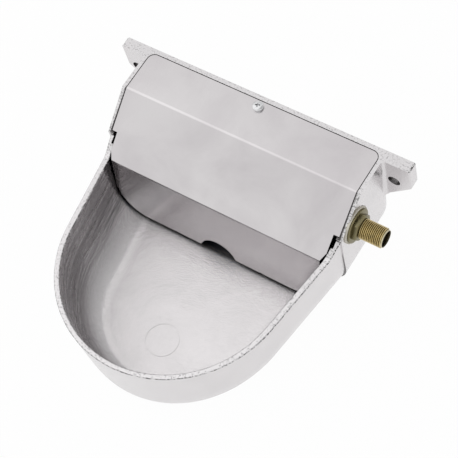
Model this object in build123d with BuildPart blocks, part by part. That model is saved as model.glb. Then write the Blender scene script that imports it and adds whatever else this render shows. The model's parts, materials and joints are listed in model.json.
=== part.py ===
"""Wall-mounted livestock drinking bowl with a covered float valve.

Frame: the origin is in the middle of the back face, level with the two wall bolt holes. +X is to the
right of someone facing the bowl, the bowl reaches towards -Y, and +Z is up. All in millimetres.
"""

import os
from math import asin, atan2, cos, degrees, hypot, radians, sin, sqrt, tan

from build123d import *

os.makedirs("parts", exist_ok=True)

# ---- Driving dimensions: casting ----------------------------------------------------------
hole_inset = 16.0        # outer edge of the ear to its wall bolt hole
hole_shift = 2.7         # the pair of holes is cast this much left of the middle
hole_d = 13.0            # clears an M12 wall bolt
hole_drop = 30.0         # top face down to the bolt holes
body_height = 130.0      # top face down to the base
bowl_reach = 301.5       # back face to the front of the rim
ear_span = 335.0         # over both ears
ear_depth = 12.0         # thickness of the ears and of the band that joins them
ear_side = 32.5          # height of each ear's outer edge
ear_slope = 47.0         # lower edge of the ear against the horizontal, degrees
ear_chamfer = 1.5        # upper outer corners
ear_edge_r = 1.5
ear_corner_r = 6.0       # lower outer corners of the ears
cheek_span = 277.0       # over both cheeks at the top
cheek_reach = 92.5       # back face to the front of the cheeks
wall = 6.5               # side walls
back_wall = 7.5
floor_wall = 6.5
floor_step = 0.4         # the chamber floor lies this much higher than the bowl's
base_stock = 0.5         # ground off under the base
front_wall = 5.2
draft = 2.0              # outer draft of the walls, degrees
core_draft = 1.2         # draft inside, degrees
back_corner_r = 17.0     # outer vertical corners against the wall
back_core_r = 9.0        # the same corners inside
side_round = 42.0        # outer rounding under the side walls
front_round = 18.0       # outer rounding under the front
side_core_round = 37.0   # rounding inside, between the side walls and the floor
front_core_round = 22.0
rim_drop = 43.5          # top face down to the rim of the bowl
rim_half_w = 136.0       # half width of the bowl where it leaves the cheeks
rim_taper = 8.0          # each side of the bowl closes in by this angle, degrees
rim_bevel = 1.2
bend_1_y = 52.0          # the top face ends here and the slope starts
slope_angle = 35.8       # slope of the cheeks and of the cover, degrees
cheek_step = 3.5         # the cheek ends this much above the bowl wall
ramp_reach = 111.5       # back face to where the wall has come down to the rim
ramp_foot_r = 18.0
chamber_reach = 99.5     # back face to the front of the wide float chamber
junction_r = 4.0         # between the ears and the cheeks
mark_d = 35.5            # ring cast into the bowl floor
mark_y = 233.5
mark_w = 1.0
mark_depth = 0.5

# ---- Driving dimensions: cover ------------------------------------------------------------
sheet = 1.5              # stainless sheet
seat_play = 0.2          # between the sheet and the ledge it lies on
cover_gap = 0.9          # all round between the cover and its recess
land = 4.1               # top face left outside the recess
back_land = 4.9
recess_reach = 90.5      # back face to the front end of the recess
recess_corner_r = 8.5
bend_r = 2.5             # inner bend radius of the sheet
bend_2_y = 113.5         # the slope ends here and the front panel starts
skirt_lean = 9.6         # the front panel leans forward by this angle, degrees
skirt_gap = 6.5          # the front panel ends this much above the floor
neck_half_w = 127.5      # half width of the cover in front of the cheeks
neck_reach = 105.5       # the neck starts to narrow here
skirt_half_w = 123.4     # half width of the front panel
skirt_corner_r = 36.0
scallop_w = 42.0         # water way in the lower edge
scallop_h = 16.0
nick_x = 52.0            # small nicks in the lower edge
nick_r = 1.2

# ---- Driving dimensions: cover screw ------------------------------------------------------
screw_y = 13.0           # back face to the screw
screw_d = 6.0
screw_head_d = 12.0
screw_head_h = 4.2
screw_length = 16.0
screw_hole = 6.6         # in the sheet
boss_r = 8.5
boss_h = 22.0

# ---- Driving dimensions: inlet, G 1/2 in the right wall -----------------------------------
valve_y = 67.5           # back face to the valve axis
valve_drop = 36.0        # top face down to the valve axis
seat_x = 136.8           # spot-faced seat outside
seat_r = 20.5
inner_seat_x = 130.5     # machined boss inside
inner_seat_r = 17.0
wall_hole_d = 21.5
washer_r = 19.8
washer_t = 2.0
flange_r = 18.2
flange_t = 2.2
hex_flats = 26.0
hex_t = 5.0
thread_d = 20.955
thread_length = 25.0
thread_lead_in = 2.0
inlet_bore_r = 8.0
bore_mouth = 0.8
shank_r = 10.3

# ---- Driving dimensions: float valve ------------------------------------------------------
gasket_r = 16.0
nut_flats = 28.0         # hexagon of the valve body
nut_length = 12.0
barrel_r = 12.0
barrel_end_x = 95.5
piston_r = 6.0
tail_r = 4.2
shoulder_x = 112.0       # the nozzle rests here
nozzle_t = 2.0
nozzle_seat_x = 109.5
nozzle_seat_r = 3.4
nozzle_hole_r = 2.0
ring_t = 1.0
seal_r = 5.0
seal_t = 3.0
seal_inset = 1.5
piston_guide = 6.0       # length of the piston that fits the barrel
closed_gap = 0.2         # between seal and nozzle with the float up
pivot_x = 88.0
pivot_drop = 13.0        # the lever turns this much below the piston
pivot_r = 2.5
lug_r = 6.0
lug_t = 3.5
lug_gap = 9.4            # between the two lugs
pin_head_r = 4.0
pin_head_t = 1.5
pin_tail = 3.6           # the pin stands out this much past the lug
clip_r = 0.6
clip_eye_r = 1.8

# ---- Driving dimensions: lever and float, laid out with the float up -----------------------
float_floor_gap = 2.25   # under the float when it hangs at its lowest
nose_r = 3.2
finger_r = 2.4           # half thickness of the finger behind the nose
hub_r = 5.5
rod_drop = 15.5          # pivot down to the rod
socket_r = 5.5
socket_near = 6.0
socket_far = 18.0
rod_r = 3.0
rod_in = 2.0
rod_nut_flats = 10.0
rod_nut_t = 5.0
float_centre = 120.0     # pivot to the middle of the float
float_length = 90.0
float_width = 66.0
float_height = 40.0
float_split = 8.0        # the lid joins this much above the rod
float_wall = 2.0
float_corner_r = 14.0
float_edge_r = 10.0
float_boss_r = 8.0
float_boss_out = 8.0
insert_r = 5.0
insert_length = 20.0
float_washer_r = 7.5
float_washer_t = 1.2

# ---- Shared clearances --------------------------------------------------------------------
running = 0.05           # radial clearance of pins, pistons and threads
body_gap = 0.3           # between pieces that move past each other
margin = 20.0            # cutting shapes stand this far outside the metal

# ---- Worked out ---------------------------------------------------------------------------
top = hole_drop
base_z = top - body_height
floor_z = base_z + floor_wall
rim_z = top - rim_drop
cheek_w = cheek_span / 2
chamber_w = cheek_w - wall
slope = tan(radians(slope_angle))
cheek_front_z = top - (cheek_reach - bend_1_y) * slope
bend_2_z = top - (bend_2_y - bend_1_y) * slope


def rounding(level, radius):
    """Inset of a rounded lower edge at a height above its lowest plane."""
    rise = max(0.0, radius - level)
    return radius - sqrt(max(0.0, radius * radius - rise * rise))


def bowl_plan(z, half_w, front, start):
    """Face of the bowl seen from above: straight tapering sides and one front arc."""
    taper = tan(radians(rim_taper))
    lean = cos(radians(rim_taper))
    centre = (-front + (half_w + taper * cheek_reach) * lean) / (1 - taper * lean)
    radius = centre + front
    tangent = (radius * lean, centre - radius * sin(radians(rim_taper)))
    with BuildSketch(Plane.XY.offset(z)) as plan:
        with BuildLine():
            Polyline((-half_w, -cheek_reach), (-half_w, -start), (half_w, -start), (half_w, -cheek_reach))
            Line((half_w, -cheek_reach), tangent)
            ThreePointArc(tangent, (0, -front), (-tangent[0], tangent[1]))
            Line((-tangent[0], tangent[1]), (-half_w, -cheek_reach))
        make_face()
    return plan.sketch


def bowl_sections(low, high, half_w, front, side_r, front_r, angle, start):
    """Sections of a bowl body from its lowest plane up, rounded more at the sides."""
    steps = (0.0, 10.0, 22.0, 36.0, 52.0, 70.0, 90.0)
    levels = [side_r * (1 - cos(radians(step))) for step in steps]
    rise = high - low - side_r
    levels += [side_r + rise * part / 4 for part in range(1, 5)]
    sections = []
    for level in levels:
        lean_in = (high - low - level) * tan(radians(angle))
        width = half_w - lean_in - rounding(level, side_r)
        reach = front - lean_in - rounding(level, front_r)
        sections.append(bowl_plan(low + level, width, reach, start))
    return sections


def tub_profile(plane, half_w, low, radius, angle):
    """Cross-section of the float chamber: drafted sides and a rounded bottom."""
    foot = half_w - (top - low) * tan(radians(angle))
    with BuildSketch(plane) as profile:
        with BuildLine():
            Polyline((-half_w, top), (-foot, low), (foot, low), (half_w, top), close=True)
        make_face()
        fillet(profile.vertices().group_by(Axis.Y)[0], radius)
    return profile.sketch


bowl_start = cheek_reach - 11.0
ramp_top = cheek_front_z - cheek_step


# ---- Bowl casting -------------------------------------------------------------------------
tub_shape = tub_profile(Plane.XZ, cheek_w, base_z - base_stock / 2, side_round, draft)
core_shape = tub_profile(
    Plane.XZ.offset(back_wall), chamber_w, floor_z + floor_step, side_core_round, core_draft
)
pan_shapes = bowl_sections(
    base_z - base_stock, ramp_top + 2, rim_half_w, bowl_reach, side_round, front_round, draft, bowl_start
)
core_pan_shapes = bowl_sections(
    floor_z, ramp_top + 2, rim_half_w - wall, bowl_reach - front_wall,
    side_core_round, front_core_round, core_draft, bowl_start,
)

with BuildPart() as tub:
    extrude(to_extrude=tub_shape, amount=cheek_reach, dir=(0, -1, 0))
    fillet(tub.faces().sort_by(Axis.Y)[-1].edges().sort_by(Axis.Z)[:-1], back_corner_r)

with BuildPart() as chamber:
    extrude(to_extrude=core_shape, amount=chamber_reach - back_wall, dir=(0, -1, 0))
    fillet(chamber.faces().sort_by(Axis.Y)[-1].edges().sort_by(Axis.Z)[:-1], back_core_r)

# Everything above the top face, the slope, the ramp and the rim.
with BuildPart() as sky:
    with BuildSketch(Plane.YZ) as sky_shape:
        with BuildLine():
            Polyline(
                (margin, top),
                (-bend_1_y, top),
                (-cheek_reach, cheek_front_z),
                (-cheek_reach, ramp_top),
                (-ramp_reach, rim_z),
                (-bowl_reach - margin, rim_z),
                (-bowl_reach - margin, top + margin),
                (margin, top + margin),
                close=True,
            )
        make_face()
        ramp_foot = sky_shape.vertices().sort_by_distance((-ramp_reach, rim_z))[0]
        fillet(ramp_foot, ramp_foot_r)
    extrude(amount=ear_span, both=True)

# Recess for the cover: its floor follows the top line one sheet lower.
recess_depth = sheet + seat_play
recess_bend_y = bend_1_y - recess_depth * tan(radians(slope_angle / 2))
recess_end_z = top - (recess_reach - bend_1_y) * slope - recess_depth / cos(radians(slope_angle))

with BuildPart() as recess:
    with BuildSketch(Plane.YZ):
        with BuildLine():
            Polyline(
                (-back_land, top + 5),
                (-back_land, top - recess_depth),
                (-recess_bend_y, top - recess_depth),
                (-recess_reach, recess_end_z),
                (-recess_reach, top + 5),
                close=True,
            )
        make_face()
    extrude(amount=cheek_w - land, both=True)
    fillet(recess.faces().sort_by(Axis.Y)[-1].edges().filter_by(Axis.Z), recess_corner_r)

ear_low = top - ear_side
ear_drop = (ear_span / 2 - chamber_w) * tan(radians(ear_slope))

with BuildSketch(Plane.XZ) as ear_shape:
    with BuildLine():
        Polyline(
            (-ear_span / 2, top),
            (-ear_span / 2, ear_low),
            (-chamber_w, ear_low - ear_drop),
            (chamber_w, ear_low - ear_drop),
            (ear_span / 2, ear_low),
            (ear_span / 2, top),
            close=True,
        )
    make_face()
    fillet(ear_shape.vertices().filter_by_position(Axis.Y, ear_low - 0.01, ear_low + 0.01), ear_corner_r)
    chamfer(ear_shape.vertices().group_by(Axis.Y)[-1], ear_chamfer)

with BuildPart() as ears:
    extrude(to_extrude=ear_shape.sketch, amount=ear_depth, dir=(0, -1, 0))
    ear_front = ears.faces().sort_by(Axis.Y)[0].edges()
    fillet(ear_front.filter_by(lambda edge: ear_low - ear_drop < edge.center().Z < top - ear_chamfer), ear_edge_r)

# The concave fillets between the ears and the cheeks, leaning with the cheeks' draft.
with BuildPart() as junctions:
    for side in (-1, 1):
        with BuildSketch(Plane.XY.offset(top)):
            with BuildLine():
                centre = (side * (cheek_w + junction_r), -ear_depth - junction_r)
                on_ear = (side * (cheek_w + junction_r), -ear_depth)
                on_cheek = (side * cheek_w, -ear_depth - junction_r)
                halfway = junction_r * sin(radians(45))
                ThreePointArc(on_ear, (centre[0] - side * halfway, centre[1] + halfway), on_cheek)
                Polyline(
                    on_cheek,
                    (side * (cheek_w - wall / 2), -ear_depth - junction_r),
                    (side * (cheek_w - wall / 2), -ear_depth / 2),
                    (side * (cheek_w + junction_r), -ear_depth / 2),
                    on_ear,
                )
            make_face()
        extrude(amount=ear_side + ear_drop, dir=(-side * sin(radians(draft)), 0, -cos(radians(draft))))
    extrude(to_extrude=ear_shape.sketch, amount=bowl_reach, dir=(0, -1, 0), mode=Mode.INTERSECT)

with BuildPart() as bowl_casting:
    add(tub.part)
    loft(sections=pan_shapes)
    add(ears.part)
    add(junctions.part)
    with Locations((0, margin, base_z)):
        Box(
            ear_span, bowl_reach + 2 * margin, margin,
            align=(Align.CENTER, Align.MAX, Align.MAX), mode=Mode.SUBTRACT,
        )
    add(sky.part, mode=Mode.SUBTRACT)
    add(chamber.part, mode=Mode.SUBTRACT)
    loft(sections=core_pan_shapes, mode=Mode.SUBTRACT)
    with Locations((0, -screw_y, top - recess_depth)):
        Cylinder(boss_r, boss_h, align=(Align.CENTER, Align.CENTER, Align.MAX))
    add(recess.part, mode=Mode.SUBTRACT)
    with Locations((inner_seat_x, -valve_y, top - valve_drop)):
        Cylinder(
            inner_seat_r, cheek_w - inner_seat_x - 3, rotation=(0, 90, 0),
            align=(Align.CENTER, Align.CENTER, Align.MIN),
        )
    with Locations((seat_x, -valve_y, top - valve_drop)):
        Cylinder(
            seat_r, 10, rotation=(0, 90, 0),
            align=(Align.CENTER, Align.CENTER, Align.MIN), mode=Mode.SUBTRACT,
        )
        Cylinder(wall_hole_d / 2, 20, rotation=(0, 90, 0), mode=Mode.SUBTRACT)
    with Locations((hole_inset - ear_span / 2 - hole_shift, 0, 0), (ear_span / 2 - hole_inset - hole_shift, 0, 0)):
        Cylinder(hole_d / 2, 3 * ear_depth, rotation=(90, 0, 0), mode=Mode.SUBTRACT)
    with Locations((0, -screw_y, top)):
        Cylinder(
            screw_d / 2 + running, screw_length + 2,
            align=(Align.CENTER, Align.CENTER, Align.MAX), mode=Mode.SUBTRACT,
        )
    with BuildSketch(Plane.XY.offset(floor_z)):
        with Locations((0, -mark_y)):
            Circle(mark_d / 2 + mark_w / 2)
            Circle(mark_d / 2 - mark_w / 2, mode=Mode.SUBTRACT)
    extrude(amount=-mark_depth, mode=Mode.SUBTRACT)
    rim_edges = (
        bowl_casting.edges()
        .filter_by_position(Axis.Z, rim_z - 0.01, rim_z + 0.01)
        .filter_by(GeomType.LINE, reverse=True)
    )
    fillet(rim_edges, rim_bevel)

bowl_casting.part.label = "bowl_casting"
export_step(bowl_casting.part, "parts/bowl_casting.step")

# ---- Cover --------------------------------------------------------------------------------
# Side view: the outer line of the sheet, bent twice, thickened inwards.
skirt_low_z = floor_z + skirt_gap
skirt_low_y = bend_2_y + (bend_2_z - skirt_low_z) * tan(radians(skirt_lean))
cover_rear_y = back_land + cover_gap
cover_half_w = cheek_w - land - cover_gap
cover_neck_y = recess_reach - cover_gap
scallop_r = (scallop_w * scallop_w / 4 + scallop_h * scallop_h) / (2 * scallop_h)

with BuildPart() as cover:
    with BuildSketch(Plane.YZ):
        with BuildLine() as cover_line:
            FilletPolyline(
                (-cover_rear_y, top),
                (-bend_1_y, top),
                (-bend_2_y, bend_2_z),
                (-skirt_low_y, skirt_low_z),
                radius=bend_r + sheet,
            )
            offset(amount=sheet, side=Side.LEFT)
        make_face()
    extrude(amount=cover_half_w, both=True)
    with BuildSketch(Plane.XY.offset(skirt_low_z - 5)):
        with BuildLine():
            Polyline(
                (-cover_half_w, -cover_rear_y),
                (-cover_half_w, -cover_neck_y),
                (-neck_half_w, -cover_neck_y),
                (-neck_half_w, -neck_reach),
                (-skirt_half_w, -bend_2_y),
                (-skirt_half_w, -skirt_low_y - 5),
                (skirt_half_w, -skirt_low_y - 5),
                (skirt_half_w, -bend_2_y),
                (neck_half_w, -neck_reach),
                (neck_half_w, -cover_neck_y),
                (cover_half_w, -cover_neck_y),
                (cover_half_w, -cover_rear_y),
                close=True,
            )
        make_face()
    extrude(amount=body_height, mode=Mode.INTERSECT)
    with BuildSketch(Plane.XZ.offset(-5)) as front_view:
        with Locations((0, skirt_low_z)):
            Rectangle(2 * skirt_half_w, body_height, align=(Align.CENTER, Align.MIN))
        fillet(front_view.vertices().group_by(Axis.Y)[0], skirt_corner_r)
        with Locations((0, bend_2_z)):
            Rectangle(2 * cheek_w, body_height, align=(Align.CENTER, Align.MIN))
        with Locations((0, skirt_low_z + scallop_h - scallop_r)):
            Circle(scallop_r, mode=Mode.SUBTRACT)
        with Locations((-nick_x, skirt_low_z), (nick_x, skirt_low_z)):
            Circle(nick_r, mode=Mode.SUBTRACT)
    extrude(amount=bowl_reach, mode=Mode.INTERSECT)
    fillet(cover.edges().filter_by(Axis.Z).group_by(Axis.Y)[-1], recess_corner_r - cover_gap)
    with Locations((0, -screw_y, top)):
        Cylinder(screw_hole / 2, 4 * sheet, mode=Mode.SUBTRACT)

cover.part.label = "cover"
export_step(cover.part, "parts/cover.step")

with BuildPart() as cover_screw:
    with Locations((0, -screw_y, top)):
        Cylinder(screw_head_d / 2, screw_head_h, align=(Align.CENTER, Align.CENTER, Align.MIN))
        fillet(cover_screw.edges().group_by(Axis.Z)[-1], 0.55 * screw_head_h)
        Cylinder(screw_d / 2, screw_length, align=(Align.CENTER, Align.CENTER, Align.MAX))
    chamfer(cover_screw.edges().group_by(Axis.Z)[0], 0.8)

cover_screw.part.label = "cover_screw"
export_step(cover_screw.part, "parts/cover_screw.step")

# ---- Inlet --------------------------------------------------------------------------------
# The turned pieces are drawn in section: x along the valve axis, y is the radius.
valve_z = top - valve_drop
section = Plane(origin=(0, -valve_y, valve_z), x_dir=(1, 0, 0), z_dir=(0, -1, 0))
across = Plane(origin=(0, -valve_y, valve_z), x_dir=(0, 1, 0), z_dir=(1, 0, 0))
valve_axis = Axis((0, -valve_y, valve_z), (1, 0, 0))
washer_x = seat_x + washer_t
hex_x = washer_x + flange_t
thread_x = hex_x + hex_t
inlet_end_x = thread_x + thread_length
gasket_x = inner_seat_x - washer_t
thread_r = thread_d / 2
nozzle_back_x = shoulder_x + nozzle_t
shank_end_x = nozzle_back_x + ring_t

with BuildPart() as inlet_nipple:
    with BuildSketch(section):
        with BuildLine():
            Polyline(
                (shank_end_x, inlet_bore_r),
                (shank_end_x, shank_r),
                (washer_x, shank_r),
                (washer_x, flange_r),
                (hex_x, flange_r),
                (hex_x, thread_r),
                (inlet_end_x - thread_lead_in, thread_r),
                (inlet_end_x, thread_r - 1),
                (inlet_end_x, inlet_bore_r + bore_mouth),
                (inlet_end_x - bore_mouth, inlet_bore_r),
                close=True,
            )
        make_face()
    revolve(axis=valve_axis)
    with BuildSketch(across.offset(hex_x)):
        RegularPolygon(hex_flats / 2, 6, major_radius=False)
        Circle(thread_r - 1, mode=Mode.SUBTRACT)
    extrude(amount=hex_t)

inlet_nipple.part.label = "inlet_nipple"
export_step(inlet_nipple.part, "parts/inlet_nipple.step")

with BuildPart() as outer_washer:
    with BuildSketch(across.offset(seat_x)):
        Circle(washer_r)
        Circle(wall_hole_d / 2, mode=Mode.SUBTRACT)
    extrude(amount=washer_t)

outer_washer.part.label = "outer_washer"
export_step(outer_washer.part, "parts/outer_washer.step")

with BuildPart() as inner_gasket:
    with BuildSketch(across.offset(gasket_x)):
        Circle(gasket_r)
        Circle(wall_hole_d / 2, mode=Mode.SUBTRACT)
    extrude(amount=washer_t)

inner_gasket.part.label = "inner_gasket"
export_step(inner_gasket.part, "parts/inner_gasket.step")

# ---- Float valve --------------------------------------------------------------------------
pivot_z = valve_z - pivot_drop
corner_reach = float_centre + float_length / 2 - float_edge_r
corner_drop = rod_drop + float_height / 2 - float_edge_r
corner_fall = pivot_z - floor_z - float_floor_gap - float_edge_r
# The arm hangs this far below its raised place, until the float is just over the floor.
arm_swing = degrees(asin(corner_fall / hypot(corner_reach, corner_drop)) - atan2(corner_drop, corner_reach))
nose_lean = arm_swing / 2
travel = 2 * pivot_drop * sin(radians(nose_lean))
seal_x = nozzle_seat_x - travel - closed_gap
piston_front_x = seal_x - seal_t + seal_inset
piston_x = pivot_x - travel / 2 + nose_r + body_gap
nut_x = gasket_x - nut_length
window_x = nozzle_seat_x - travel - 1

with BuildPart() as valve_body:
    with BuildSketch(section):
        with BuildLine():
            Polyline(
                (barrel_end_x, 0),
                (barrel_end_x, barrel_r),
                (gasket_x, barrel_r),
                (gasket_x, 0),
                close=True,
            )
        make_face()
    revolve(axis=valve_axis)
    with BuildSketch(across.offset(nut_x)):
        RegularPolygon(nut_flats / 2, 6, major_radius=False)
    extrude(amount=nut_length)
    for side in (-1, 1):
        with BuildSketch(section.offset(side * (lug_gap + lug_t) / 2)):
            with Locations((pivot_x, -pivot_drop)):
                Circle(lug_r)
            with Locations((barrel_end_x + lug_r, -barrel_r / 2)):
                Circle(lug_r)
            make_hull()
            with Locations((pivot_x, -pivot_drop)):
                Circle(pivot_r + running, mode=Mode.SUBTRACT)
        extrude(amount=lug_t / 2, both=True)
    with BuildSketch(section):
        with BuildLine():
            Polyline(
                (barrel_end_x - lug_r, 0),
                (barrel_end_x - lug_r, piston_r + running),
                (shoulder_x, piston_r + running),
                (shoulder_x, shank_r + running),
                (gasket_x, shank_r + running),
                (gasket_x, 0),
                close=True,
            )
        make_face()
    revolve(axis=valve_axis, mode=Mode.SUBTRACT)
    with Locations((window_x, -valve_y, valve_z)):
        Box(
            shoulder_x - 1 - window_x, piston_r * 2 - 2, 2 * barrel_r,
            align=(Align.MIN, Align.CENTER, Align.MAX), mode=Mode.SUBTRACT,
        )

valve_body.part.label = "valve_body"
export_step(valve_body.part, "parts/valve_body.step")

with BuildPart() as nozzle:
    with BuildSketch(section):
        with BuildLine():
            Polyline(
                (nozzle_seat_x, nozzle_hole_r),
                (nozzle_seat_x, nozzle_seat_r),
                (shoulder_x, nozzle_seat_r + 1),
                (shoulder_x, shank_r),
                (nozzle_back_x, shank_r),
                (nozzle_back_x, nozzle_hole_r + 1.5),
                close=True,
            )
        make_face()
    revolve(axis=valve_axis)

nozzle.part.label = "nozzle"
export_step(nozzle.part, "parts/nozzle.step")

with BuildPart() as nozzle_ring:
    with BuildSketch(across.offset(nozzle_back_x)):
        Circle(shank_r)
        Circle(inlet_bore_r, mode=Mode.SUBTRACT)
    extrude(amount=ring_t)

nozzle_ring.part.label = "nozzle_ring"
export_step(nozzle_ring.part, "parts/nozzle_ring.step")

with BuildPart() as valve_piston:
    with BuildSketch(section):
        with BuildLine():
            Polyline(
                (piston_x, 0),
                (piston_x, tail_r - 1),
                (piston_x + 1, tail_r),
                (piston_front_x - piston_guide, tail_r),
                (piston_front_x - piston_guide, piston_r),
                (piston_front_x, piston_r),
                (piston_front_x, seal_r),
                (piston_front_x - seal_inset, seal_r),
                (piston_front_x - seal_inset, 0),
                close=True,
            )
        make_face()
    revolve(axis=valve_axis)

valve_piston.part.label = "valve_piston"
export_step(valve_piston.part, "parts/valve_piston.step")

with BuildPart() as piston_seal:
    with BuildSketch(across.offset(seal_x - seal_t)):
        Circle(seal_r)
    extrude(amount=seal_t)

piston_seal.part.label = "piston_seal"
export_step(piston_seal.part, "parts/piston_seal.step")

pin_plane = Plane(
    origin=(pivot_x, -valve_y + lug_gap / 2 + lug_t, pivot_z), x_dir=(1, 0, 0), z_dir=(0, -1, 0)
)
pin_length = lug_gap + 2 * lug_t + pin_tail
clip_at = lug_gap + 2 * lug_t + clip_r + body_gap

with BuildPart(pin_plane) as pivot_pin:
    Cylinder(pin_head_r, pin_head_t, align=(Align.CENTER, Align.CENTER, Align.MAX))
    Cylinder(pivot_r, pin_length, align=(Align.CENTER, Align.CENTER, Align.MIN))
    chamfer(pivot_pin.edges().group_by(Axis.Y)[0], 0.5)
    with Locations((0, 0, clip_at)):
        Cylinder(clip_r + running, 4 * pivot_r, rotation=(90, 0, 0), mode=Mode.SUBTRACT)

pivot_pin.part.label = "pivot_pin"
export_step(pivot_pin.part, "parts/pivot_pin.step")

with BuildPart(pin_plane) as split_pin:
    with Locations((0, 0, clip_at)):
        Cylinder(clip_r, 4 * pivot_r, rotation=(90, 0, 0))
    with Locations((0, 2 * pivot_r + clip_eye_r, clip_at)):
        Torus(clip_eye_r, clip_r)

split_pin.part.label = "split_pin"
export_step(split_pin.part, "parts/split_pin.step")

# ---- Lever and float ----------------------------------------------------------------------
# Drawn with the float up, in a plane through the pivot that hangs by the arm's swing.
arm = Plane(
    origin=(pivot_x, -valve_y, pivot_z),
    x_dir=(cos(radians(arm_swing)), 0, sin(radians(arm_swing))),
    z_dir=(0, -1, 0),
)
arm_up = Axis(arm.origin, arm.y_dir)
nose = (pivot_drop * sin(radians(nose_lean)), pivot_drop * cos(radians(nose_lean)))
lever_t = lug_gap - 2 * body_gap
float_near = -float_centre + float_length / 2
boss_end = float_near + float_boss_out
float_low = -rod_drop - float_height / 2
split_v = -rod_drop + float_split

with BuildPart(arm) as float_lever:
    with BuildSketch(arm):
        with Locations((0, 0), nose):
            Circle(finger_r)
        make_hull()
        with Locations(nose):
            Circle(nose_r)
    extrude(amount=lever_t / 2, both=True)
    with BuildSketch(arm):
        Circle(hub_r)
        with Locations((0, -rod_drop)):
            Circle(socket_r)
        make_hull()
    extrude(amount=lever_t / 2, both=True)
    with Locations((socket_near, -rod_drop, 0)):
        Cylinder(
            socket_r, socket_near + socket_far, rotation=(0, -90, 0),
            align=(Align.CENTER, Align.CENTER, Align.MIN),
        )
    with Locations((rod_in, -rod_drop, 0)):
        Cylinder(
            rod_r + running, socket_far + 2 * rod_in, rotation=(0, -90, 0),
            align=(Align.CENTER, Align.CENTER, Align.MIN), mode=Mode.SUBTRACT,
        )
    Cylinder(pivot_r + running, 2 * lever_t, mode=Mode.SUBTRACT)

float_lever.part.label = "float_lever"
export_step(float_lever.part, "parts/float_lever.step")

rod_end = boss_end - insert_length + 2

with BuildPart(arm) as float_rod:
    with Locations((rod_in, -rod_drop, 0)):
        Cylinder(
            rod_r, rod_in - rod_end, rotation=(0, -90, 0),
            align=(Align.CENTER, Align.CENTER, Align.MIN),
        )
    chamfer(float_rod.edges().filter_by(GeomType.CIRCLE), 0.5)

float_rod.part.label = "float_rod"
export_step(float_rod.part, "parts/float_rod.step")

along_rod = Plane(
    origin=arm.from_local_coords((0, -rod_drop, 0)), x_dir=arm.y_dir, z_dir=-arm.x_dir
)

with BuildPart() as rod_lock_nut:
    with BuildSketch(along_rod.offset(socket_far)):
        RegularPolygon(rod_nut_flats / 2, 6, major_radius=False)
        Circle(rod_r + running, mode=Mode.SUBTRACT)
    extrude(amount=rod_nut_t)

rod_lock_nut.part.label = "rod_lock_nut"
export_step(rod_lock_nut.part, "parts/rod_lock_nut.step")

with BuildPart() as float_washer:
    with BuildSketch(along_rod.offset(-boss_end - float_washer_t)):
        Circle(float_washer_r)
        Circle(rod_r + running, mode=Mode.SUBTRACT)
    extrude(amount=float_washer_t)

float_washer.part.label = "float_washer"
export_step(float_washer.part, "parts/float_washer.step")

with BuildPart() as float_lock_nut:
    with BuildSketch(along_rod.offset(-boss_end - float_washer_t - rod_nut_t)):
        RegularPolygon(rod_nut_flats / 2, 6, major_radius=False)
        Circle(rod_r + running, mode=Mode.SUBTRACT)
    extrude(amount=rod_nut_t)

float_lock_nut.part.label = "float_lock_nut"
export_step(float_lock_nut.part, "parts/float_lock_nut.step")

with BuildPart() as float_insert:
    with BuildSketch(along_rod.offset(-boss_end)):
        Circle(insert_r)
        Circle(rod_r + running, mode=Mode.SUBTRACT)
    extrude(amount=insert_length)

float_insert.part.label = "float_insert"
export_step(float_insert.part, "parts/float_insert.step")

with BuildPart(arm) as float_shell:
    with Locations((-float_centre, float_low, 0)):
        Box(
            float_length, split_v - float_low, float_width,
            align=(Align.CENTER, Align.MIN, Align.CENTER),
        )
    fillet(float_shell.edges().filter_by(arm_up), float_corner_r)
    fillet(float_shell.faces().sort_by(arm_up)[0].edges(), float_edge_r)
    split_face = float_shell.faces().sort_by(arm_up)[-1]
    offset(amount=-float_wall, openings=split_face)
    with Locations((boss_end, -rod_drop, 0)):
        Cylinder(
            float_boss_r, insert_length + float_wall, rotation=(0, -90, 0),
            align=(Align.CENTER, Align.CENTER, Align.MIN),
        )
        Cylinder(
            insert_r, insert_length, rotation=(0, -90, 0),
            align=(Align.CENTER, Align.CENTER, Align.MIN), mode=Mode.SUBTRACT,
        )

float_shell.part.label = "float_shell"
export_step(float_shell.part, "parts/float_shell.step")

with BuildPart(arm) as float_lid:
    with Locations((-float_centre, split_v, 0)):
        Box(
            float_length, float_height / 2 - float_split, float_width,
            align=(Align.CENTER, Align.MIN, Align.CENTER),
        )
    fillet(float_lid.edges().filter_by(arm_up), float_corner_r)
    fillet(float_lid.faces().sort_by(arm_up)[-1].edges(), float_edge_r)
    split_face = float_lid.faces().sort_by(arm_up)[0]
    offset(amount=-float_wall, openings=split_face)

float_lid.part.label = "float_lid"
export_step(float_lid.part, "parts/float_lid.step")
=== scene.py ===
"""Looks of a wall-mounted livestock drinking bowl: its castings, sheet metal, brass and studio."""

import json
import logging
from collections.abc import Callable
from dataclasses import dataclass, field
from enum import Enum
from math import cos, pi, radians, sin, sqrt

import bmesh
import bpy
from mathutils import Matrix, Vector

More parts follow.
